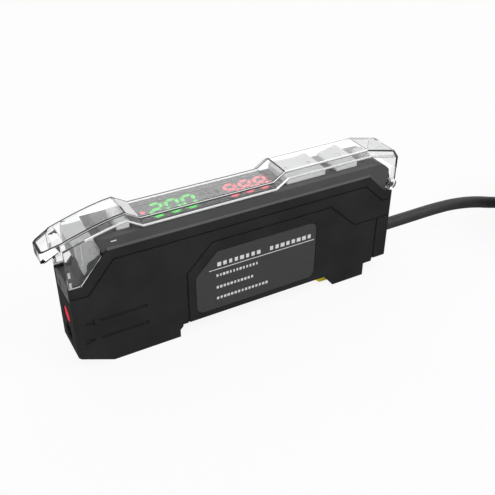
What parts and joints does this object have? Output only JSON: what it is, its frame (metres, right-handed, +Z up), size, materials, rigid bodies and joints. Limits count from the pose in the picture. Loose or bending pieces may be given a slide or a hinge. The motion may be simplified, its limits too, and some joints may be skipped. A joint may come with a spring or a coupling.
{
  "type": "fibre optic sensor amplifier",
  "caption": "Slim DIN rail fibre sensor amplifier with fibre ports, lock lever, two-colour display, buttons, clear hinged dust cover and rear cable.",
  "frame": {"origin": "under the middle of the unit's box without its cable, on the surface that its feet stand on", "axes": "+X from the fibre ports to the cable end, +Y across the slim width away from the label, +Z up"},
  "size_m": [0.1546, 0.0435, 0.032],
  "materials": {
    "case_black": "fine matt moulding",
    "deck_grey": "fine matt moulding",
    "label_grey": "printed film",
    "smoked_window": "smoked clear plastic",
    "board_green": "solder mask",
    "black_plastic": "moulded",
    "green_light": "lit segments",
    "red_light": "lit segments",
    "port_red": "lit from inside",
    "steel": "bright",
    "cable_black": "extruded sheath",
    "lead_sleeve": "coloured insulation",
    "clear_cover": "clear moulding",
    "control_grey": "satin moulding",
    "latch_yellow": "moulded"
  },
  "bodies": {
    "case": {"case_shell": "case_black", "upper_housing": "deck_grey", "label_plate": "label_grey", "display_window": "smoked_window", "display_board": "board_green", "display_module": "black_plastic", "green_digits": "green_light", "red_digits": "red_light", "output_led": "red_light", "tact_switches": "black_plastic", "slide_switch_body": "steel", "main_board": "board_green", "board_chips": "black_plastic", "board_header": "black_plastic", "fibre_block": "black_plastic", "send_ring": "port_red", "receive_ring": "black_plastic", "emitter_led": "port_red", "receiver_diode": "black_plastic", "lever_pin": "steel", "latch_spring": "steel", "cable_bushing": "cable_black", "cable": "cable_black", "cable_coil": "cable_black", "cable_tie": "black_plastic", "lead_wires": "lead_sleeve"},
    "cover": {"dust_cover": "clear_cover"},
    "lever": {"lock_lever": "control_grey"},
    "mode": {"mode_button": "control_grey"},
    "rocker": {"rocker_button": "control_grey"},
    "set": {"set_button": "control_grey"},
    "slide": {"slide_knob": "control_grey"},
    "latch": {"din_latch": "latch_yellow"}
  },
  "joints": [
    {"name": "cover_hinge", "type": "hinge", "parent": "case", "child": "cover", "pos_m": [0.0383, 0, 0.0226], "axis": [0, 1, 0], "range_deg": [0, 110]},
    {"name": "lever_pivot", "type": "hinge", "parent": "case", "child": "lever", "pos_m": [-0.0302, 0, 0.0262], "axis": [0, -1, 0], "range_deg": [0, 25]},
    {"name": "mode_press", "type": "slide", "parent": "case", "child": "mode", "axis": [0, 0, -1], "range_m": [0, 0.0004], "stiffness_N_per_m": 400, "springref_m": -0.0002},
    {"name": "rocker_tilt", "type": "hinge", "parent": "case", "child": "rocker", "pos_m": [0.01615, 0, 0.0275], "axis": [0, 1, 0], "range_deg": [-3, 3], "stiffness_Nm_per_rad": 0.005},
    {"name": "set_press", "type": "slide", "parent": "case", "child": "set", "axis": [0, 0, -1], "range_m": [0, 0.0004], "stiffness_N_per_m": 400, "springref_m": -0.0002},
    {"name": "slide_switch", "type": "slide", "parent": "case", "child": "slide", "axis": [-1, 0, 0], "range_m": [0, 0.0015]},
    {"name": "latch_slide", "type": "slide", "parent": "case", "child": "latch", "axis": [1, 0, 0], "range_m": [0, 0.002], "stiffness_N_per_m": 300, "springref_m": -0.0005, "deforming": ["latch_spring"]}
  ]
}
